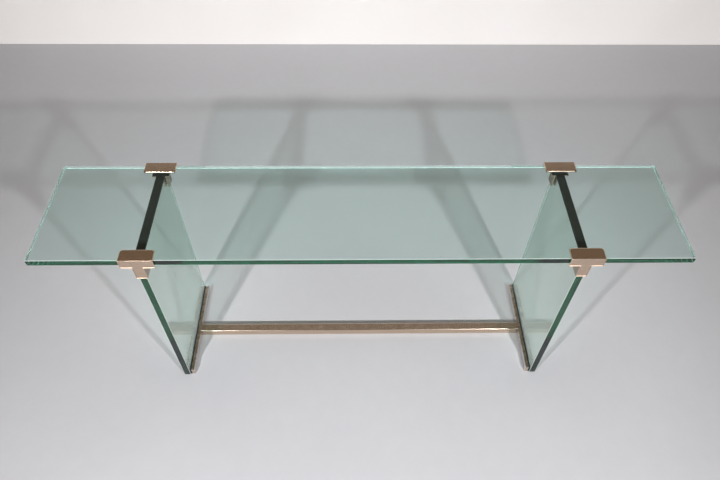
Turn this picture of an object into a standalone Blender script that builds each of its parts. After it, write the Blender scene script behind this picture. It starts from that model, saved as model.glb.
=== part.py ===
"""Glass console table: one rectangular plate of float glass carried by two upright glass
panels.  Four T-shaped metal clamps join the top to the panels, two flat bars run along the
feet of the panels and a square tube joins the bars near mid depth.

Metres, +Z up, +X along the length, +Y away from the front.  The origin is the middle of the
footprint at floor level."""

import math

import bmesh
import bpy
from mathutils import Matrix, Vector

for o in list(bpy.data.objects):
    bpy.data.objects.remove(o, do_unlink=True)
for m in list(bpy.data.meshes):
    bpy.data.meshes.remove(m)
for m in list(bpy.data.materials):
    bpy.data.materials.remove(m)

MM = 0.001

# ---------------------------------------------------------------- driving dimensions (mm)
GAP = 0.3  # running gap between neighbouring pieces
GLASS_T = 19.0  # float glass
TOP_L = 1600.0
TOP_W = 320.0
TOP_Z = 590.0  # upper face of the glass top
TOP_BOTTOM = TOP_Z - GLASS_T
TOP_ARRIS = 1.2

PANEL_SPAN = 1096.0  # over the outer faces of the two panels
PANEL_X = PANEL_SPAN / 2 - GLASS_T / 2  # middle of a panel
PANEL_BOTTOM = 1.5
PANEL_ARRIS = 1.0

LINER_T = 0.8  # black rubber liners between metal and glass
SEAT = GAP + LINER_T + GAP  # glass to metal

# clamp
FLANGE_W = 84.0
FLANGE_T = 4.0
FLANGE_D = 29.5  # from the glass edge inwards
FLANGE_R = 8.0  # inner corners in plan
PLATE_T = 4.0
JAW_T = 4.0
JAW_HALF = 22.5  # half width of the lower jaw behind the front plate
RIM = 1.3  # raised rim round the front field of a clamp
FIELD_DEPTH = 1.1
FIELD_SLOPE = 1.23  # height of the slope at the foot of the field
CHEEK_T = 3.0
CHEEK_D = 26.0
STEM_BOTTOM = 523.5
SLOT_TOP = TOP_Z + SEAT
SLOT_BOTTOM = TOP_BOTTOM - SEAT
FLANGE_TOP = SLOT_TOP + FLANGE_T
JAW_BOTTOM = SLOT_BOTTOM - JAW_T
PANEL_TOP = JAW_BOTTOM - GAP
PLATE_IN = -SEAT  # inner face of the front plate, from the glass edge
PLATE_OUT = PLATE_IN - PLATE_T
CHEEK_IN = GLASS_T / 2 + SEAT
CHEEK_OUT = CHEEK_IN + CHEEK_T
GRUB_D = 5.0  # clamping set screws
GRUB_X = 18.0
GRUB_Y = 17.0
GRUB_Z = 544.0

# base
RAIL_T = 9.5
RAIL_H = 25.0
RAIL_SETBACK = 3.0
TAPE_T = 4.0
TAPE_H = 25.0
TUBE = 25.0
TUBE_Y = -7.0  # the cross bar sits a little in front of the middle
TUBE_WALL = 2.0
PLUG_L = 22.0
SCREW_D = 5.0
SCREW_HEAD_D = 9.6
SCREW_PITCH = 11.0
SCREW_L = 24.0

GLIDE_D = 15.0
GLIDE_T = PANEL_BOTTOM - GAP
GLIDE_INSET = 28.0

PANEL_IN_X = PANEL_X - GLASS_T / 2
TAPE_X0 = PANEL_IN_X - GAP - TAPE_T
RAIL_X1 = TAPE_X0 - GAP
RAIL_X0 = RAIL_X1 - RAIL_T
TUBE_HALF = RAIL_X0 - GAP
BASE_Z0 = PANEL_BOTTOM
BASE_Z1 = BASE_Z0 + RAIL_H


# ---------------------------------------------------------------- materials
def material(name, rgb, rough, metal, alpha=1.0):
    m = bpy.data.materials.new(name)
    m.use_nodes = True
    p = m.node_tree.nodes["Principled BSDF"]
    p.inputs["Base Color"].default_value = (*rgb, 1.0)
    p.inputs["Roughness"].default_value = rough
    p.inputs["Metallic"].default_value = metal
    p.inputs["Alpha"].default_value = alpha
    m.diffuse_color = (*rgb, alpha)
    return m


GLASS_TOP = material("glass_top", (0.36, 0.52, 0.46), 0.04, 0.0)
GLASS_PANEL = material("glass_panel", (0.33, 0.50, 0.43), 0.04, 0.0)
NICKEL = material("satin_nickel", (0.60, 0.51, 0.44), 0.28, 1.0)
NICKEL_BAR = material("nickel_bar", (0.55, 0.47, 0.40), 0.30, 1.0)
LINER = material("black_liner", (0.030, 0.030, 0.032), 0.55, 0.0)
STEEL = material("zinc_steel", (0.58, 0.58, 0.57), 0.32, 1.0)
PLUG = material("raw_steel", (0.38, 0.37, 0.36), 0.45, 1.0)
TAPE = material("bond_tape", (0.035, 0.035, 0.037), 0.60, 0.0)
GLIDE = material("soft_glide", (0.78, 0.78, 0.75), 0.50, 0.0)


# ---------------------------------------------------------------- mesh helpers
def new_box(x0, x1, y0, y1, z0, z1):
    bm = bmesh.new()
    bmesh.ops.create_cube(bm, size=1.0)
    for v in bm.verts:
        v.co = Vector(
            (
                (x0 + x1) / 2 + v.co.x * (x1 - x0),
                (y0 + y1) / 2 + v.co.y * (y1 - y0),
                (z0 + z1) / 2 + v.co.z * (z1 - z0),
            )
        )
    return bm


def pick_edges(bm, test):
    """Edges whose two end points both satisfy test(point)."""
    return [e for e in bm.edges if test(e.verts[0].co) and test(e.verts[1].co)]


def near(a, b, tol=1e-4):
    return abs(a - b) < tol


def round_edges(bm, edges, radius, segments):
    bmesh.ops.bevel(
        bm,
        geom=list(edges),
        offset=radius,
        offset_type="OFFSET",
        segments=segments,
        profile=0.5,
        affect="EDGES",
        clamp_overlap=True,
    )


def cylinder(radius, length, segments, axis="Z", centre=(0, 0, 0), start=0.0):
    """Closed cylinder from start to start + length along the axis."""
    bm = bmesh.new()
    bmesh.ops.create_cone(
        bm,
        cap_ends=True,
        cap_tris=False,
        segments=segments,
        radius1=radius,
        radius2=radius,
        depth=length,
    )
    bmesh.ops.translate(bm, verts=bm.verts, vec=(0, 0, start + length / 2))
    turn(bm, axis)
    bmesh.ops.translate(bm, verts=bm.verts, vec=centre)
    return bm


def turn(bm, axis):
    if axis == "X":
        bmesh.ops.rotate(bm, verts=bm.verts, matrix=Matrix.Rotation(math.radians(90), 3, "Y"))
    elif axis == "-X":
        bmesh.ops.rotate(bm, verts=bm.verts, matrix=Matrix.Rotation(math.radians(-90), 3, "Y"))


def lathe(profile, segments):
    """Solid of revolution about Z from (radius, z) points that start and end on the axis."""
    bm = bmesh.new()
    rings = []
    for r, z in profile:
        if r < 1e-9:
            rings.append([bm.verts.new((0, 0, z))])
        else:
            rings.append(
                [
                    bm.verts.new(
                        (
                            r * math.cos(2 * math.pi * i / segments),
                            r * math.sin(2 * math.pi * i / segments),
                            z,
                        )
                    )
                    for i in range(segments)
                ]
            )
    for a, b in zip(rings, rings[1:]):
        for i in range(segments):
            j = (i + 1) % segments
            if len(a) == 1:
                bm.faces.new((a[0], b[j], b[i]))
            elif len(b) == 1:
                bm.faces.new((a[i], a[j], b[0]))
            else:
                bm.faces.new((a[i], a[j], b[j], b[i]))
    bmesh.ops.recalc_face_normals(bm, faces=bm.faces)
    return bm


def face_outwards(bm):
    bmesh.ops.recalc_face_normals(bm, faces=bm.faces)
    if bm.calc_volume(signed=True) < 0:
        bmesh.ops.reverse_faces(bm, faces=bm.faces)


def to_mesh(bm, name):
    me = bpy.data.meshes.new(name)
    face_outwards(bm)
    bm.to_mesh(me)
    bm.free()
    return me


def temp_object(bm, name):
    o = bpy.data.objects.new(name, to_mesh(bm, name))
    bpy.context.scene.collection.objects.link(o)
    o.hide_render = True
    o.display_type = "WIRE"
    return o


def combine(base, steps):
    """Runs exact Booleans on base and returns the resulting bmesh.  steps holds
    (operation, bmesh) pairs."""
    body = temp_object(base, "work_base")
    cutters = []
    for i, (op, bm) in enumerate(steps):
        c = temp_object(bm, "work_cut_%d" % i)
        cutters.append(c)
        mod = body.modifiers.new("b%d" % i, "BOOLEAN")
        mod.operation = op
        mod.solver = "EXACT"
        mod.object = c
    bpy.context.view_layer.update()
    dg = bpy.context.evaluated_depsgraph_get()
    me = bpy.data.meshes.new_from_object(body.evaluated_get(dg))
    bm = bmesh.new()
    bm.from_mesh(me)
    bmesh.ops.dissolve_limit(
        bm, angle_limit=math.radians(0.5), verts=bm.verts, edges=bm.edges
    )
    face_outwards(bm)
    bpy.data.meshes.remove(me)
    for o in [body, *cutters]:
        data = o.data
        bpy.data.objects.remove(o, do_unlink=True)
        bpy.data.meshes.remove(data)
    return bm


def place(bm, name, mat, flip_x=False, flip_y=False, move=(0, 0, 0), smooth_angle=30.0):
    """Scales millimetres to metres, mirrors, and makes the final object at move."""
    sx, sy = (-1 if flip_x else 1), (-1 if flip_y else 1)
    for v in bm.verts:
        v.co = Vector((v.co.x * sx * MM, v.co.y * sy * MM, v.co.z * MM))
    if sx * sy < 0:
        bmesh.ops.reverse_faces(bm, faces=bm.faces)
    me = bpy.data.meshes.new(name)
    bm.to_mesh(me)
    bm.free()
    me.materials.append(mat)
    for p in me.polygons:
        p.use_smooth = True
    me.set_sharp_from_angle(angle=math.radians(smooth_angle))
    o = bpy.data.objects.new(name, me)
    o.location = Vector(move) * MM
    bpy.context.scene.collection.objects.link(o)
    return o


# ---------------------------------------------------------------- glass
def glass_top():
    bm = new_box(-TOP_L / 2, TOP_L / 2, -TOP_W / 2, TOP_W / 2, TOP_BOTTOM, TOP_Z)
    upright = [e for e in bm.edges if near(e.verts[0].co.x, e.verts[1].co.x) and near(e.verts[0].co.y, e.verts[1].co.y)]
    round_edges(bm, upright, 2.0, 4)
    rim = [
        e
        for e in bm.edges
        if near(e.verts[0].co.z, e.verts[1].co.z) and e.calc_face_angle(0) > 0.5
    ]
    round_edges(bm, rim, TOP_ARRIS, 2)
    return bm


def glass_panel():
    """Panel about its own middle in X, standing on its pads."""
    bm = new_box(-GLASS_T / 2, GLASS_T / 2, -TOP_W / 2, TOP_W / 2, PANEL_BOTTOM, PANEL_TOP)
    along_x = [e for e in bm.edges if near(e.verts[0].co.z, e.verts[1].co.z) and near(e.verts[0].co.y, e.verts[1].co.y)]
    round_edges(bm, along_x, 2.0, 4)
    rim = [
        e
        for e in bm.edges
        if near(abs(e.verts[0].co.x), GLASS_T / 2)
        and near(e.verts[0].co.x, e.verts[1].co.x)
        and e.calc_face_angle(0) > 0.5
    ]
    round_edges(bm, rim, PANEL_ARRIS, 2)
    return bm


# ---------------------------------------------------------------- clamp, drawn as the front left one
# x from the panel's middle (outer side negative), y from the glass edge (front negative).
def outline_block(x0, x1, y0, y1, z0, z1, plan_r):
    """Block with its two inner upright edges rounded in plan."""
    bm = new_box(x0, x1, y0, y1, z0, z1)
    inner = pick_edges(bm, lambda c: near(c.y, y1))
    inner = [e for e in inner if near(e.verts[0].co.x, e.verts[1].co.x) and not near(e.verts[0].co.z, e.verts[1].co.z)]
    round_edges(bm, inner, plan_r, 7)
    return bm


def sunk_box(x0, x1, z0, z1):
    """Cutter for a sunk field in the front plate; its lower end slopes up and inwards."""
    bm = new_box(x0, x1, PLATE_OUT - 1.0, PLATE_OUT + FIELD_DEPTH, z0, z1)
    for v in bm.verts:
        if near(v.co.z, z0):
            v.co.z = z0 + FIELD_SLOPE * (v.co.y - PLATE_OUT) / FIELD_DEPTH
    return bm


def front_field():
    """T-shaped field inside a narrow raised rim."""
    half = FLANGE_W / 2
    bar = sunk_box(-half + RIM, half - RIM, JAW_BOTTOM + RIM, FLANGE_TOP - 0.8)
    foot = sunk_box(-CHEEK_OUT + RIM, CHEEK_OUT - RIM, STEM_BOTTOM + RIM, FLANGE_TOP - 3.0)
    return combine(bar, [("UNION", foot)])


def clamp_body():
    half = FLANGE_W / 2
    head = outline_block(-half, half, PLATE_OUT, FLANGE_D, JAW_BOTTOM, FLANGE_TOP, FLANGE_R)
    # upper rim: generous round on the inner side and ends, crisp along the front
    layer = head.edges.layers.float.get("bevel_weight_edge") or head.edges.layers.float.new(
        "bevel_weight_edge"
    )
    full = 3.0
    for e in head.edges:
        a, b = e.verts[0].co, e.verts[1].co
        if e.calc_face_angle(0) < 0.5:
            continue
        front = near(a.y, PLATE_OUT) and near(b.y, PLATE_OUT)
        top = near(a.z, FLANGE_TOP) and near(b.z, FLANGE_TOP)
        low = near(a.z, JAW_BOTTOM) and near(b.z, JAW_BOTTOM)
        if front and top:
            e[layer] = 0.4 / full
        elif front and low:
            e[layer] = 0.6 / full
        elif front:
            e[layer] = 0.6 / full
        elif top:
            e[layer] = 1.0
        elif low:
            e[layer] = 1.2 / full
    body = temp_object(head, "work_head")
    mod = body.modifiers.new("bevel", "BEVEL")
    mod.limit_method = "WEIGHT"
    mod.width = full
    mod.segments = 4
    mod.profile = 0.5
    bpy.context.view_layer.update()
    dg = bpy.context.evaluated_depsgraph_get()
    me = bpy.data.meshes.new_from_object(body.evaluated_get(dg))
    head = bmesh.new()
    head.from_mesh(me)
    bpy.data.meshes.remove(me)
    data = body.data
    bpy.data.objects.remove(body, do_unlink=True)
    bpy.data.meshes.remove(data)

    # stem with its two cheeks
    stem = new_box(-CHEEK_OUT, CHEEK_OUT, PLATE_OUT, CHEEK_D, STEM_BOTTOM, JAW_BOTTOM + 2.0)
    low_front = [
        e
        for e in stem.edges
        if near(e.verts[0].co.y, PLATE_OUT)
        and near(e.verts[1].co.y, PLATE_OUT)
        and not (near(e.verts[0].co.z, JAW_BOTTOM + 2.0) and near(e.verts[1].co.z, JAW_BOTTOM + 2.0))
    ]
    round_edges(stem, low_front, 0.6, 3)
    rear = [
        e
        for e in stem.edges
        if near(e.verts[0].co.y, CHEEK_D)
        and near(e.verts[1].co.y, CHEEK_D)
        and near(e.verts[0].co.z, STEM_BOTTOM)
        and near(e.verts[1].co.z, STEM_BOTTOM)
    ]
    round_edges(stem, rear, 3.0, 4)

    top_slot = new_box(-half - 5, half + 5, PLATE_IN, FLANGE_D + 5, SLOT_BOTTOM, SLOT_TOP)
    side_slot = new_box(
        -CHEEK_IN, CHEEK_IN, PLATE_IN, CHEEK_D + 5, STEM_BOTTOM - 5, JAW_BOTTOM
    )
    bm = combine(head, [("UNION", stem), ("DIFFERENCE", top_slot), ("DIFFERENCE", side_slot)])
    cuts = [
        # the jaw under the glass is narrower than the front plate
        (
            "DIFFERENCE",
            new_box(x0, x1, PLATE_IN, FLANGE_D + 5, JAW_BOTTOM - 5, SLOT_TOP - 1),
        )
        for x0, x1 in ((-half - 5, -JAW_HALF), (JAW_HALF, half + 5))
    ]
    cuts.append(("DIFFERENCE", front_field()))
    for x in (-GRUB_X, GRUB_X):
        cuts.append(
            (
                "DIFFERENCE",
                cylinder(GRUB_D / 2 + GAP, JAW_T + 4, 24, "Z", (x, GRUB_Y, 0), JAW_BOTTOM - 2),
            )
        )
    cuts.append(
        (
            "DIFFERENCE",
            cylinder(
                GRUB_D / 2 + GAP, CHEEK_T + 4, 24, "-X", (0, GRUB_Y - 3, GRUB_Z), CHEEK_IN - 2
            ),
        )
    )
    return combine(bm, cuts)


def grub(length):
    """Set screw along +Z: flat pressing tip at the top, hexagon socket in the lower end."""
    r, c = GRUB_D / 2, 0.5
    shank = lathe(
        [(0, 0), (r - c, 0), (r, c), (r, length - 1.0), (r - 0.9, length), (0, length)], 18
    )
    socket = cylinder(2.5 / 2 / math.cos(math.pi / 6), 3.0, 6, "Z", (0, 0, 0), -0.5)
    return combine(shank, [("DIFFERENCE", socket)])


def jaw_grub(x):
    """Vertical set screw in the lower jaw, x from the panel's middle."""
    bm = grub(6.0)
    bmesh.ops.translate(bm, verts=bm.verts, vec=(x, GRUB_Y, SLOT_BOTTOM - 6.0))
    return bm


def cheek_grub():
    """Level set screw in the outer cheek, its tip towards the panel."""
    bm = grub(5.0)
    turn(bm, "X")
    bmesh.ops.translate(bm, verts=bm.verts, vec=(-CHEEK_IN - 5.0, GRUB_Y - 3, GRUB_Z))
    return bm


def channel_liner(half_outer, depth, lo, hi, thickness, web_out, web_in, upright):
    """U-shaped liner: two flat leaves and the web that joins them over a glass edge."""
    if upright:
        outer = new_box(-half_outer, half_outer, web_out, depth, lo, hi)
        inner = new_box(
            -half_outer + thickness, half_outer - thickness, web_in, depth + 5, lo - 5, hi + 5
        )
    else:
        outer = new_box(-half_outer, half_outer, web_out, depth, lo, hi)
        inner = new_box(
            -half_outer - 5, half_outer + 5, web_in, depth + 5, lo + thickness, hi - thickness
        )
    return combine(outer, [("DIFFERENCE", inner)])


def top_liner():
    bm = channel_liner(
        FLANGE_W / 2 - 1.0,
        FLANGE_D - 1.0,
        TOP_BOTTOM - GAP - LINER_T,
        TOP_Z + GAP + LINER_T,
        LINER_T,
        -GAP - LINER_T,
        -GAP,
        False,
    )
    lo, hi, side = TOP_BOTTOM - 10, TOP_BOTTOM + 5, JAW_HALF - 1.0
    return combine(
        bm,
        [
            ("DIFFERENCE", new_box(side, FLANGE_W, -10, FLANGE_D + 5, lo, hi)),
            ("DIFFERENCE", new_box(-FLANGE_W, -side, -10, FLANGE_D + 5, lo, hi)),
        ],
    )


def side_liner():
    return channel_liner(
        GLASS_T / 2 + GAP + LINER_T,
        CHEEK_D - 2.0,
        STEM_BOTTOM + 2.0,
        PANEL_TOP - 3.0,
        LINER_T,
        -GAP - LINER_T,
        -GAP,
        True,
    )


def edge_strip():
    """Rubber strip on the panel's upper edge, under the glass top and between the two clamps."""
    y = TOP_W / 2 - FLANGE_D - 1.0
    bm = new_box(-CHEEK_IN, CHEEK_IN, -y, y, PANEL_TOP + GAP, TOP_BOTTOM - GAP)
    round_edges(bm, list(bm.edges), 0.4, 2)
    return bm


# ---------------------------------------------------------------- base, drawn on the right hand side
def rail():
    y = TOP_W / 2 - RAIL_SETBACK
    bm = new_box(RAIL_X0, RAIL_X1, -y, y, BASE_Z0, BASE_Z1)
    round_edges(bm, list(bm.edges), 0.7, 2)
    zc = (BASE_Z0 + BASE_Z1) / 2
    cuts = []
    for y in (TUBE_Y - SCREW_PITCH / 2, TUBE_Y + SCREW_PITCH / 2):
        hole = lathe(
            [
                (0, -1),
                (SCREW_D / 2 + GAP, -1),
                (SCREW_D / 2 + GAP, RAIL_T - (SCREW_HEAD_D - SCREW_D) / 2 - 0.4),
                (SCREW_HEAD_D / 2 + GAP, RAIL_T - 0.4),
                (SCREW_HEAD_D / 2 + GAP, RAIL_T + 1),
                (0, RAIL_T + 1),
            ],
            32,
        )
        turn(hole, "X")
        bmesh.ops.translate(hole, verts=hole.verts, vec=(RAIL_X0, y, zc))
        cuts.append(("DIFFERENCE", hole))
    return combine(bm, cuts)


def rail_screw(y):
    """Countersunk screw, its head on the panel side of the rail."""
    zc = (BASE_Z0 + BASE_Z1) / 2
    head_h = (SCREW_HEAD_D - SCREW_D) / 2
    shank = lathe(
        [
            (0, 0),
            (SCREW_D / 2 - 0.7, 0),
            (SCREW_D / 2, 0.7),
            (SCREW_D / 2, SCREW_L - head_h - 0.5),
            (SCREW_HEAD_D / 2, SCREW_L - 0.5),
            (SCREW_HEAD_D / 2, SCREW_L),
            (0, SCREW_L),
        ],
        32,
    )
    socket = cylinder(3.0 / 2 / math.cos(math.pi / 6), 4.0, 6, "Z", (0, 0, 0), SCREW_L - 2.0)
    bm = combine(shank, [("DIFFERENCE", socket)])
    turn(bm, "X")
    bmesh.ops.translate(bm, verts=bm.verts, vec=(RAIL_X1 - 0.1 - SCREW_L, y, zc))
    return bm


def stretcher():
    h = TUBE / 2
    zc = (BASE_Z0 + BASE_Z1) / 2
    bm = new_box(-TUBE_HALF, TUBE_HALF, TUBE_Y - h, TUBE_Y + h, zc - h, zc + h)
    long_edges = [e for e in bm.edges if not near(e.verts[0].co.x, e.verts[1].co.x)]
    round_edges(bm, long_edges, 1.5, 4)
    b = h - TUBE_WALL
    bore = new_box(-TUBE_HALF - 5, TUBE_HALF + 5, TUBE_Y - b, TUBE_Y + b, zc - b, zc + b)
    long_edges = [e for e in bore.edges if not near(e.verts[0].co.x, e.verts[1].co.x)]
    round_edges(bore, long_edges, 0.8, 2)
    return combine(bm, [("DIFFERENCE", bore)])


def plug():
    """Tapped end block inside the tube, right hand end."""
    b = TUBE / 2 - TUBE_WALL - GAP
    zc = (BASE_Z0 + BASE_Z1) / 2
    bm = new_box(TUBE_HALF - PLUG_L, TUBE_HALF, TUBE_Y - b, TUBE_Y + b, zc - b, zc + b)
    round_edges(bm, list(bm.edges), 1.0, 2)
    cuts = []
    for y in (TUBE_Y - SCREW_PITCH / 2, TUBE_Y + SCREW_PITCH / 2):
        cuts.append(
            (
                "DIFFERENCE",
                cylinder(
                    SCREW_D / 2 + GAP, PLUG_L, 32, "X", (0, y, zc), TUBE_HALF - PLUG_L + 4.0
                ),
            )
        )
    return combine(bm, cuts)


def tape():
    y = TOP_W / 2 - RAIL_SETBACK - 0.5
    zc = (BASE_Z0 + BASE_Z1) / 2
    return new_box(TAPE_X0, TAPE_X0 + TAPE_T, -y, y, zc - TAPE_H / 2, zc + TAPE_H / 2)


def glide():
    r = GLIDE_D / 2
    return lathe(
        [(0, 0), (r - 0.3, 0), (r, 0.3), (r, GLIDE_T - 0.3), (r - 0.3, GLIDE_T), (0, GLIDE_T)],
        28,
    )


# ---------------------------------------------------------------- assembly
place(glass_top(), "table_top", GLASS_TOP)
for side, flip in (("left", True), ("right", False)):
    sign = -1 if flip else 1
    place(glass_panel(), "side_panel_" + side, GLASS_PANEL, move=(sign * PANEL_X, 0, 0))
    place(edge_strip(), "edge_strip_" + side, LINER, move=(sign * PANEL_X, 0, 0))
    place(rail(), "base_rail_" + side, NICKEL_BAR, flip_x=flip)
    place(plug(), "stretcher_plug_" + side, PLUG, flip_x=flip)
    place(tape(), "bond_tape_" + side, TAPE, flip_x=flip)
    for end, back in (("front", False), ("back", True)):
        tag = "%s_%s" % (end, side)
        # the clamp is drawn with its outer side at -x: the right hand ones are mirrored
        kw = dict(
            flip_x=not flip,
            flip_y=back,
            move=(sign * PANEL_X, (TOP_W / 2) * (1 if back else -1), 0),
        )
        place(clamp_body(), "clamp_" + tag, NICKEL, **kw)
        place(top_liner(), "top_liner_" + tag, LINER, **kw)
        place(side_liner(), "side_liner_" + tag, LINER, **kw)
        place(jaw_grub(-GRUB_X), "jaw_screw_outer_" + tag, STEEL, **kw)
        place(jaw_grub(GRUB_X), "jaw_screw_inner_" + tag, STEEL, **kw)
        place(cheek_grub(), "cheek_screw_" + tag, STEEL, **kw)
        place(
            rail_screw(TUBE_Y + SCREW_PITCH / 2 * (1 if back else -1)),
            "rail_screw_" + tag,
            STEEL,
            flip_x=flip,
        )
        place(
            glide(),
            "glide_" + tag,
            GLIDE,
            move=(sign * PANEL_X, (TOP_W / 2 - GLIDE_INSET) * (1 if back else -1), 0),
        )
place(stretcher(), "stretcher", NICKEL_BAR)
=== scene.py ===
"""Looks for the glass console table: materials, studio floor, lights and camera around the CAD frame."""
import math

import bpy
from mathutils import Matrix, Vector

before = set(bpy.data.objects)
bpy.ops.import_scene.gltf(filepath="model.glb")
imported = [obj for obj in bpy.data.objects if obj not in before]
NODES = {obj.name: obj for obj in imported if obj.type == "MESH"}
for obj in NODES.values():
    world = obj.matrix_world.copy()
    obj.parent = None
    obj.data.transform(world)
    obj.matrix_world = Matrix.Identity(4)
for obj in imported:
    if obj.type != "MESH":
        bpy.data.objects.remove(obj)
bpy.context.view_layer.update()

SCENE = bpy.context.scene
SCENE.view_settings.view_transform = "Standard"
# light bounces many times between the faces of a glass plate before it leaves the edge
SCENE.cycles.max_bounces = 28
SCENE.cycles.glossy_bounces = 24
SCENE.cycles.transmission_bounces = 24


# ------------------------------------------------------------------ small helpers for node trees
class Graph:
    """A material, light or world node tree that is filled from code."""

    def __init__(self, owner):
        owner.use_nodes = True
        self.tree = owner.node_tree
        self.tree.nodes.clear()

    def add(self, kind, **props):
        n = self.tree.nodes.new(kind)
        for k, v in props.items():
            setattr(n, k, v)
        return n

    def link(self, a, b):
        self.tree.links.new(a, b)
        return b

    def put(self, socket, value):
        """Links a socket, or sets a plain number or colour."""
        if isinstance(value, bpy.types.NodeSocket):
            self.link(value, socket)
        elif value is not None:
            socket.default_value = value

    def math(self, op, a, b=None, c=None, clamp=False):
        n = self.add("ShaderNodeMath", operation=op, use_clamp=clamp)
        for s, v in zip(n.inputs, (a, b, c)):
            self.put(s, v)
        return n.outputs[0]

    def vec(self, op, a, b=None, out=0):
        n = self.add("ShaderNodeVectorMath", operation=op)
        for s, v in zip(n.inputs, (a, b)):
            self.put(s, v)
        return n.outputs[out]

    def mix(self, fac, a, b, blend="MIX"):
        n = self.add("ShaderNodeMix", data_type="RGBA", blend_type=blend)
        self.put(n.inputs[0], fac)
        self.put(n.inputs[6], a)
        self.put(n.inputs[7], b)
        return n.outputs[2]

    def mix_shader(self, fac, a, b):
        n = self.add("ShaderNodeMixShader")
        self.put(n.inputs[0], fac)
        self.link(a, n.inputs[1])
        self.link(b, n.inputs[2])
        return n.outputs[0]

    def remap(self, v, a0, a1, b0, b1, smooth=False):
        n = self.add("ShaderNodeMapRange", interpolation_type="SMOOTHSTEP" if smooth else "LINEAR")
        self.put(n.inputs["Value"], v)
        for k, x in (("From Min", a0), ("From Max", a1), ("To Min", b0), ("To Max", b1)):
            self.put(n.inputs[k], x)
        return n.outputs["Result"]

    def noise(self, coord, scale, detail=2.0, rough=0.5, stretch=None, distortion=0.0):
        if stretch is not None:
            coord = self.vec("MULTIPLY", coord, stretch)
        n = self.add("ShaderNodeTexNoise")
        self.link(coord, n.inputs["Vector"])
        n.inputs["Scale"].default_value = scale
        n.inputs["Detail"].default_value = detail
        n.inputs["Roughness"].default_value = rough
        n.inputs["Distortion"].default_value = distortion
        return n.outputs[0]

    def bump(self, height, strength, distance, normal=None):
        n = self.add("ShaderNodeBump")
        n.inputs["Strength"].default_value = strength
        n.inputs["Distance"].default_value = distance
        self.link(height, n.inputs["Height"])
        if normal is not None:
            self.link(normal, n.inputs["Normal"])
        return n.outputs[0]

    def coord(self):
        return self.add("ShaderNodeTexCoord").outputs["Object"]

    def principled(self, **values):
        n = self.add("ShaderNodeBsdfPrincipled")
        for k, v in values.items():
            self.put(n.inputs[k.replace("_", " ")], v)
        return n

    def finish(self, surface, volume=None):
        out = self.add("ShaderNodeOutputMaterial")
        self.link(surface, out.inputs["Surface"])
        if volume is not None:
            self.link(volume, out.inputs["Volume"])


def rgb(r, g, b):
    return (r, g, b, 1.0)


def new_material(name):
    m = bpy.data.materials.new(name)
    return m, Graph(m)


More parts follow.
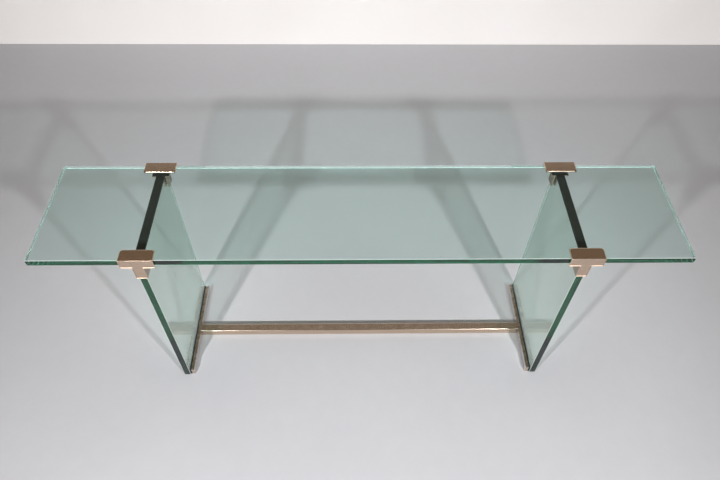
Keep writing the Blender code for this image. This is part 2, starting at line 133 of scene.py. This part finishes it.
# ------------------------------------------------------------------ glass
def glass(name, axis, absorb, face_tint, face_lamp, edge_lamp, edge_tint, foot=None):
    """Float glass: clear polished faces across `axis`, green polished edges and finely ground arrises.
    absorb is per metre in red, green and blue; a foot height paints the edge that stands below it near-black, as
    painted shade for the contact shadow under the panel."""
    m, g = new_material(name)
    geo = g.add("ShaderNodeNewGeometry")
    across = g.math("ABSOLUTE", g.vec("DOT_PRODUCT", geo.outputs["True Normal"], axis, out=1))
    face = g.math("GREATER_THAN", across, 0.97)
    edge = g.math("LESS_THAN", across, 0.25)
    arris = g.math("SUBTRACT", g.math("SUBTRACT", 1.0, face), edge, clamp=True)
    p = g.coord()

    # faint roller and handling marks on the faces, grinding lines along the edges
    cloud = g.noise(p, 9.0, 3.0, 0.55)
    tint = g.mix(g.remap(cloud, 0.3, 0.7, 0.0, 1.0), rgb(*[0.988 * c for c in face_tint[:3]]), face_tint)
    streak = g.noise(p, 1.0, 3.0, 0.6, stretch=(12.0, 12.0, 260.0) if axis[2] else (260.0, 12.0, 12.0))
    edge_colour = g.mix(streak, edge_tint, rgb(*[min(1.0, c * 1.25 + 0.02) for c in edge_tint[:3]]))
    clear = g.principled(Base_Color=tint, Roughness=0.0, IOR=1.52)
    clear.inputs["Transmission Weight"].default_value = 1.0
    edge_glass = g.principled(Base_Color=edge_colour, Roughness=0.0, IOR=1.52, Normal=g.bump(streak, 0.1, 0.00001))
    edge_glass.inputs["Transmission Weight"].default_value = 1.0
    edge_glass.inputs["Specular IOR Level"].default_value = 0.2

    grain = g.noise(p, 2600.0, 2.0, 0.6)
    ground = g.principled(
        Base_Color=g.mix(grain, rgb(0.74, 0.87, 0.82), rgb(0.84, 0.95, 0.92)),
        Roughness=g.remap(grain, 0.3, 0.7, 0.24, 0.34),
        IOR=1.52,
        Normal=g.bump(grain, 0.2, 0.00003),
    )
    polished = g.mix_shader(edge, clear.outputs[0], edge_glass.outputs[0])
    shown = g.mix_shader(g.math("MULTIPLY", arris, 0.8), polished, ground.outputs[0])
    # painted shade: the edge below the foot height is painted near-black in place of the contact shadow under the panel
    if foot is not None:
        split = g.add("ShaderNodeSeparateXYZ")
        g.link(geo.outputs["Position"], split.inputs[0])
        low = g.math("LESS_THAN", split.outputs["Z"], foot)
        painted_contact_shade = g.principled(
            Base_Color=g.mix(grain, rgb(0.006, 0.014, 0.010), rgb(0.012, 0.024, 0.018)),
            Roughness=g.remap(grain, 0.3, 0.7, 0.5, 0.7),
        )
        shown = g.mix_shader(low, shown, painted_contact_shade.outputs[0])
    # lamp light that crosses a surface: glass tint, less what the surface mirrors at that slant
    slant = g.add("ShaderNodeLayerWeight")
    slant.inputs["Blend"].default_value = 0.5
    passed = g.math("SUBTRACT", 0.957, g.math("MULTIPLY", g.math("POWER", slant.outputs["Facing"], 4.5), 0.957))
    grey = g.add("ShaderNodeCombineColor")
    for k in range(3):
        g.link(passed, grey.inputs[k])
    lamp = g.add("ShaderNodeBsdfTransparent")
    g.link(g.mix(1.0, g.mix(face, edge_lamp, face_lamp), grey.outputs[0], "MULTIPLY"), lamp.inputs["Color"])
    path = g.add("ShaderNodeLightPath")
    surface = g.mix_shader(path.outputs["Is Shadow Ray"], shown, lamp.outputs[0])

    vol = g.add("ShaderNodeVolumeAbsorption")
    density = max(absorb) * 1.04
    vol.inputs["Density"].default_value = density
    vol.inputs["Color"].default_value = rgb(*[1.0 - k / density for k in absorb])
    seen = g.add("ShaderNodeMixShader")  # lamp rays are tinted at the surfaces instead
    g.link(path.outputs["Is Shadow Ray"], seen.inputs[0])
    g.link(vol.outputs[0], seen.inputs[1])
    g.finish(surface, seen.outputs[0])
    return m


# ------------------------------------------------------------------ metals
def nickel(name, low, high, rough, brush, grain_scale=1500.0, brush_depth=0.00002, grain_depth=0.00003, zones=None):
    """Satin nickel plate: fine brushed grain along the piece, matt grain over it, faint cloudiness.
    zones(g, normal, position) gives (mask, colour factor, added roughness) for parts with a different finish and for
    faces given painted light or painted shade."""
    m, g = new_material(name)
    p = g.coord()
    lines = g.noise(p, 1.0, 4.0, 0.65, stretch=brush)
    grain = g.noise(p, grain_scale, 3.0, 0.6)
    cloud = g.noise(p, 42.0, 4.0, 0.6)
    shade = g.math("ADD", g.math("MULTIPLY", lines, 0.45), g.math("MULTIPLY", cloud, 0.55))
    colour = g.mix(g.remap(shade, 0.3, 0.7, 0.0, 1.0), low, high)
    roughness = g.remap(g.math("ADD", g.math("MULTIPLY", grain, 0.6), g.math("MULTIPLY", cloud, 0.4)), 0.3, 0.7, rough[0], rough[1])
    geo = g.add("ShaderNodeNewGeometry")
    for mask, factor, extra in zones(g, geo.outputs["True Normal"], geo.outputs["Position"]) if zones else ():
        colour = g.mix(mask, colour, g.mix(1.0, colour, factor, "MULTIPLY"))
        roughness = g.math("ADD", roughness, g.math("MULTIPLY", mask, extra))
    n1 = g.bump(lines, 0.5, brush_depth)
    n2 = g.bump(grain, 0.5, grain_depth, n1)
    s = g.principled(Base_Color=colour, Metallic=1.0, Roughness=roughness, Normal=n2)
    g.finish(s.outputs[0])
    return m


def split(g, v):
    n = g.add("ShaderNodeSeparateXYZ")
    g.link(v, n.inputs[0])
    return [g.math("ABSOLUTE", o) for o in n.outputs]


def all_of(g, *tests):
    mask = 1.0
    for op, a, b in tests:
        mask = g.math("MULTIPLY", g.math(op, a, b), mask)
    return mask


def clamp_zones(g, normal, position):
    """Satin field; slope at its foot rougher and darkened as painted shade against the lamp highlight; cheeks behind
    the stem darkened as painted shade.
    """
    nx, ny, nz = split(g, normal)
    px, py, pz = split(g, position)
    field = all_of(g, ("GREATER_THAN", ny, 0.95), ("GREATER_THAN", py, 0.1638), ("LESS_THAN", py, 0.1648))
    # painted shade on the slope: besides the added roughness, its colour is darkened to tone down the lamp highlight
    slope = all_of(g, ("GREATER_THAN", ny, 0.5), ("GREATER_THAN", nz, 0.45), ("LESS_THAN", pz, 0.570))
    # painted shade: the cheeks' side faces are darkened to stand for the darker reflection they show
    cheek = all_of(g, ("GREATER_THAN", nx, 0.9), ("LESS_THAN", pz, 0.5655), ("LESS_THAN", py, 0.1648))
    return (field, rgb(0.84, 0.81, 0.80), 0.05), (slope, rgb(0.66, 0.62, 0.60), 0.26), (cheek, rgb(0.52, 0.53, 0.54), 0.05)


def bar_top_painted_light(g, normal, position):
    # painted light: the stretcher's upward face is lightened to stand for a brighter reflection on its top
    nz = split(g, normal)[2]
    return ((g.math("GREATER_THAN", nz, 0.8), rgb(1.42, 1.55, 1.72), 0.0),)


def rail_painted_light_zones(g, normal, position):
    # painted reflection: the rail's inward side is shifted greyer and its top face lightened, standing for how those
    # faces catch light
    nx, ny, nz = split(g, normal)
    return (g.math("GREATER_THAN", nx, 0.8), rgb(1.1, 1.32, 1.58), 0.0), (g.math("GREATER_THAN", nz, 0.8), rgb(1.15, 1.18, 1.25), 0.0)


def steel(name, low, high, rough, ring_scale=900.0):
    m, g = new_material(name)
    p = g.coord()
    grain = g.noise(p, ring_scale, 3.0, 0.6)
    cloud = g.noise(p, 120.0, 3.0, 0.6)
    colour = g.mix(g.remap(cloud, 0.3, 0.7, 0.0, 1.0), low, high)
    s = g.principled(
        Base_Color=colour,
        Metallic=1.0,
        Roughness=g.remap(grain, 0.3, 0.7, rough[0], rough[1]),
        Normal=g.bump(grain, 0.5, 0.00003),
    )
    g.finish(s.outputs[0])
    return m


# ------------------------------------------------------------------ plastics
def soft_plastic(name, low, high, rough, scale, depth, transmission=0.0):
    m, g = new_material(name)
    p = g.coord()
    grain = g.noise(p, scale, 3.0, 0.6)
    s = g.principled(
        Base_Color=g.mix(g.remap(grain, 0.3, 0.7, 0.0, 1.0), low, high),
        Roughness=g.remap(grain, 0.3, 0.7, rough[0], rough[1]),
        Normal=g.bump(grain, 0.5, depth),
    )
    s.inputs["Transmission Weight"].default_value = transmission
    s.inputs["IOR"].default_value = 1.46
    g.finish(s.outputs[0])
    return m


MAT = {
    "table_top": glass(
        "float_glass_top", (0.0, 0.0, 1.0), (11.3, 3.6, 5.3), rgb(1.0, 1.0, 1.0), rgb(0.883, 0.961, 0.943), rgb(0.08, 0.11, 0.10), rgb(0.17, 0.50, 0.38)
    ),
    "side_panel": glass(
        "float_glass_panel", (1.0, 0.0, 0.0), (13.0, 5.4, 7.8), rgb(0.99, 0.92, 0.91), rgb(0.883, 0.955, 0.930), rgb(0.15, 0.19, 0.175), rgb(0.42, 0.90, 0.84), 0.0026
    ),
    "clamp": nickel("satin_nickel_plate", rgb(0.68, 0.53, 0.405), rgb(0.775, 0.62, 0.487), (0.17, 0.26), (60.0, 900.0, 900.0), zones=clamp_zones),
    "stretcher_plug": steel("turned_steel", rgb(0.33, 0.32, 0.31), rgb(0.43, 0.42, 0.41), (0.38, 0.52)),
    "stretcher": nickel("brushed_nickel_bar", rgb(0.60, 0.47, 0.36), rgb(0.68, 0.54, 0.42), (0.20, 0.28), (8.0, 700.0, 700.0), 1500.0, 0.00001, zones=bar_top_painted_light),
    "base_rail": nickel("brushed_nickel_rail", rgb(0.62, 0.50, 0.40), rgb(0.70, 0.58, 0.47), (0.22, 0.32), (700.0, 8.0, 700.0), 1500.0, 0.00001, zones=rail_painted_light_zones),
    "top_liner": soft_plastic("black_liner_sheet", rgb(0.004, 0.005, 0.005), rgb(0.012, 0.013, 0.013), (0.6, 0.78), 900.0, 0.00006),
    "jaw_screw": steel("zinc_plated_steel", rgb(0.52, 0.52, 0.51), rgb(0.64, 0.64, 0.62), (0.26, 0.38)),
    "bond_tape": soft_plastic("bonding_tape", rgb(0.020, 0.020, 0.022), rgb(0.045, 0.045, 0.048), (0.5, 0.7), 1400.0, 0.00008),
    "glide": soft_plastic("soft_glide_pad", rgb(0.70, 0.70, 0.66), rgb(0.80, 0.80, 0.77), (0.42, 0.58), 900.0, 0.00005, 0.35),
}
ALIASES = {
    "side_liner": "top_liner",
    "edge_strip": "top_liner",
    "cheek_screw": "jaw_screw",
    "rail_screw": "jaw_screw",
}


def material_for(node):
    for prefix in sorted(list(MAT) + list(ALIASES), key=len, reverse=True):
        if node.startswith(prefix):
            return MAT[ALIASES.get(prefix, prefix)]
    raise RuntimeError("no material for " + node)


for name, ob in NODES.items():
    mat = material_for(name)
    for s in ob.material_slots:
        s.material = mat
    if not ob.material_slots:
        ob.data.materials.append(mat)


# ------------------------------------------------------------------ rounded shading on fillets and turned pieces
def smoothing_tree():
    """Welds the facets and marks only real corners as sharp, so fillets and arrises shade as rounds."""
    t = bpy.data.node_groups.new("welded_rounds", "GeometryNodeTree")
    t.interface.new_socket("Geometry", in_out="INPUT", socket_type="NodeSocketGeometry")
    t.interface.new_socket("Geometry", in_out="OUTPUT", socket_type="NodeSocketGeometry")
    start, end = t.nodes.new("NodeGroupInput"), t.nodes.new("NodeGroupOutput")
    weld = t.nodes.new("GeometryNodeMergeByDistance")
    weld.inputs["Distance"].default_value = 0.000002
    angle = t.nodes.new("GeometryNodeInputMeshEdgeAngle")
    corner = t.nodes.new("FunctionNodeCompare")
    corner.data_type, corner.operation = "FLOAT", "GREATER_THAN"
    corner.inputs[1].default_value = math.radians(33)
    normals = t.nodes.new("GeometryNodeSetMeshNormal")
    normals.mode = "SHARPNESS"
    normals.inputs["Remove Custom"].default_value = True
    normals.inputs["Face Sharpness"].default_value = False
    t.links.new(start.outputs[0], weld.inputs["Geometry"])
    t.links.new(weld.outputs[0], normals.inputs["Mesh"])
    t.links.new(angle.outputs["Unsigned Angle"], corner.inputs[0])
    t.links.new(corner.outputs[0], normals.inputs["Edge Sharpness"])
    t.links.new(normals.outputs[0], end.inputs[0])
    return t


ROUNDS = smoothing_tree()
for name, ob in NODES.items():
    ob.modifiers.new("welded_rounds", "NODES").node_group = ROUNDS
    w = ob.modifiers.new("even_normals", "WEIGHTED_NORMAL")
    w.mode = "FACE_AREA"
    w.weight = 80
    w.keep_sharp = True


# ------------------------------------------------------------------ studio floor and backdrop
def quad(name, corners):
    me = bpy.data.meshes.new(name)
    me.from_pydata([tuple(c) for c in corners], [], [(0, 1, 2, 3)])
    o = bpy.data.objects.new(name, me)
    SCENE.collection.objects.link(o)
    return o


WALL_Y = 1.64
floor = quad("studio_floor", ((-9, -9, 0), (9, -9, 0), (9, WALL_Y, 0), (-9, WALL_Y, 0)))
wall = quad("studio_backdrop", ((-9, WALL_Y, 0), (9, WALL_Y, 0), (9, WALL_Y, 1.9), (-9, WALL_Y, 1.9)))


def floor_material():
    m, g = new_material("studio_floor_matt")
    p = g.coord()
    big = g.noise(p, 1.6, 3.0, 0.5)
    small = g.noise(p, 22.0, 4.0, 0.6)
    fine = g.noise(p, 260.0, 3.0, 0.6)
    v = g.math("ADD", g.math("MULTIPLY", big, 0.5), g.math("ADD", g.math("MULTIPLY", small, 0.3), g.math("MULTIPLY", fine, 0.2)))
    colour = g.mix(g.remap(v, 0.35, 0.65, 0.0, 1.0), rgb(0.655, 0.657, 0.680), rgb(0.695, 0.697, 0.720))
    s = g.principled(Base_Color=colour, Roughness=g.remap(small, 0.3, 0.7, 0.55, 0.7), Normal=g.bump(fine, 0.3, 0.0002))
    s.inputs["Specular IOR Level"].default_value = 0.25
    geo = g.add("ShaderNodeNewGeometry")
    clear = g.add("ShaderNodeBsdfTransparent")
    g.finish(g.mix_shader(geo.outputs["Backfacing"], s.outputs[0], clear.outputs[0]))
    return m


def wall_material():
    m, g = new_material("studio_backdrop_matt")
    p = g.coord()
    v = g.noise(p, 3.0, 4.0, 0.55)
    colour = g.mix(g.remap(v, 0.35, 0.65, 0.0, 1.0), rgb(0.84, 0.80, 0.78), rgb(0.87, 0.83, 0.81))
    s = g.principled(Base_Color=colour, Roughness=0.8, Emission_Color=colour)
    s.inputs["Emission Strength"].default_value = 0.38
    s.inputs["Specular IOR Level"].default_value = 0.2
    geo = g.add("ShaderNodeNewGeometry")
    clear = g.add("ShaderNodeBsdfTransparent")
    g.finish(g.mix_shader(geo.outputs["Backfacing"], s.outputs[0], clear.outputs[0]))
    return m


floor.data.materials.append(floor_material())
wall.data.materials.append(wall_material())


# ------------------------------------------------------------------ lights
KEY = 49.5
FALL_QUADRATIC, FALL_LINEAR = 1.9, 0.35


def key_light(name, place, aim):
    d = bpy.data.lights.new(name, "SPOT")
    d.energy = KEY
    d.color = (1.0, 1.0, 1.02)
    d.shadow_soft_size = 0.045
    d.spot_size = math.radians(102)
    d.spot_blend = 1.0
    g = Graph(d)
    e = g.add("ShaderNodeEmission")
    f = g.add("ShaderNodeLightFalloff")
    f.inputs["Strength"].default_value = 1.0
    near = g.math("MULTIPLY", f.outputs["Quadratic"], FALL_QUADRATIC)
    far = g.math("MULTIPLY", f.outputs["Linear"], FALL_LINEAR)
    g.link(g.math("ADD", near, far), e.inputs["Strength"])
    out = g.add("ShaderNodeOutputLight")
    g.link(e.outputs[0], out.inputs[0])
    o = bpy.data.objects.new(name, d)
    o.location = place
    o.rotation_mode = "QUATERNION"
    o.rotation_quaternion = (Vector(aim) - Vector(place)).to_track_quat("-Z", "Y")
    o.visible_transmission = False
    SCENE.collection.objects.link(o)
    return o


key_light("key_left", (-1.10, -1.73, 1.65), (0.0, 0.15, 0.0))
key_light("key_right", (1.01, -1.77, 1.70), (0.0, 0.15, 0.0))

world = bpy.data.worlds.new("studio_surroundings")
SCENE.world = world
g = Graph(world)
direction = g.add("ShaderNodeTexCoord").outputs["Generated"]
patch = g.remap(g.vec("DOT_PRODUCT", direction, (0.0, 0.62, 0.785), out=1), 0.55, 0.85, 0.0, 1.0, smooth=True)
sky = g.mix(patch, rgb(0.07, 0.065, 0.06), rgb(0.25, 0.195, 0.145))
bg = g.add("ShaderNodeBackground")
g.link(sky, bg.inputs["Color"])
bg.inputs["Strength"].default_value = 0.70
wo = g.add("ShaderNodeOutputWorld")
g.link(bg.outputs[0], wo.inputs[0])


# ------------------------------------------------------------------ camera
def make_camera():
    cam = bpy.data.cameras.new("photo_camera")
    cam.sensor_fit = "HORIZONTAL"
    cam.sensor_width = 36.0
    cam.lens = 603.583 / 720.0 * 36.0
    cam.clip_start, cam.clip_end = 0.05, 100.0
    pitch, yaw, roll = (math.radians(a) for a in (50.98664, 1.42327, 0.88357))
    forward = Vector((math.sin(yaw) * math.cos(pitch), math.cos(yaw) * math.cos(pitch), -math.sin(pitch)))
    right = Vector((math.cos(yaw), -math.sin(yaw), 0.0))
    up = right.cross(forward)
    x = math.cos(roll) * right + math.sin(roll) * up
    y = -math.sin(roll) * right + math.cos(roll) * up
    o = bpy.data.objects.new("photo_camera", cam)
    o.matrix_world = Matrix.Translation((-0.02995, -1.02587, 1.73288)) @ Matrix((x, y, -forward)).transposed().to_4x4()
    SCENE.collection.objects.link(o)
    SCENE.camera = o


make_camera()
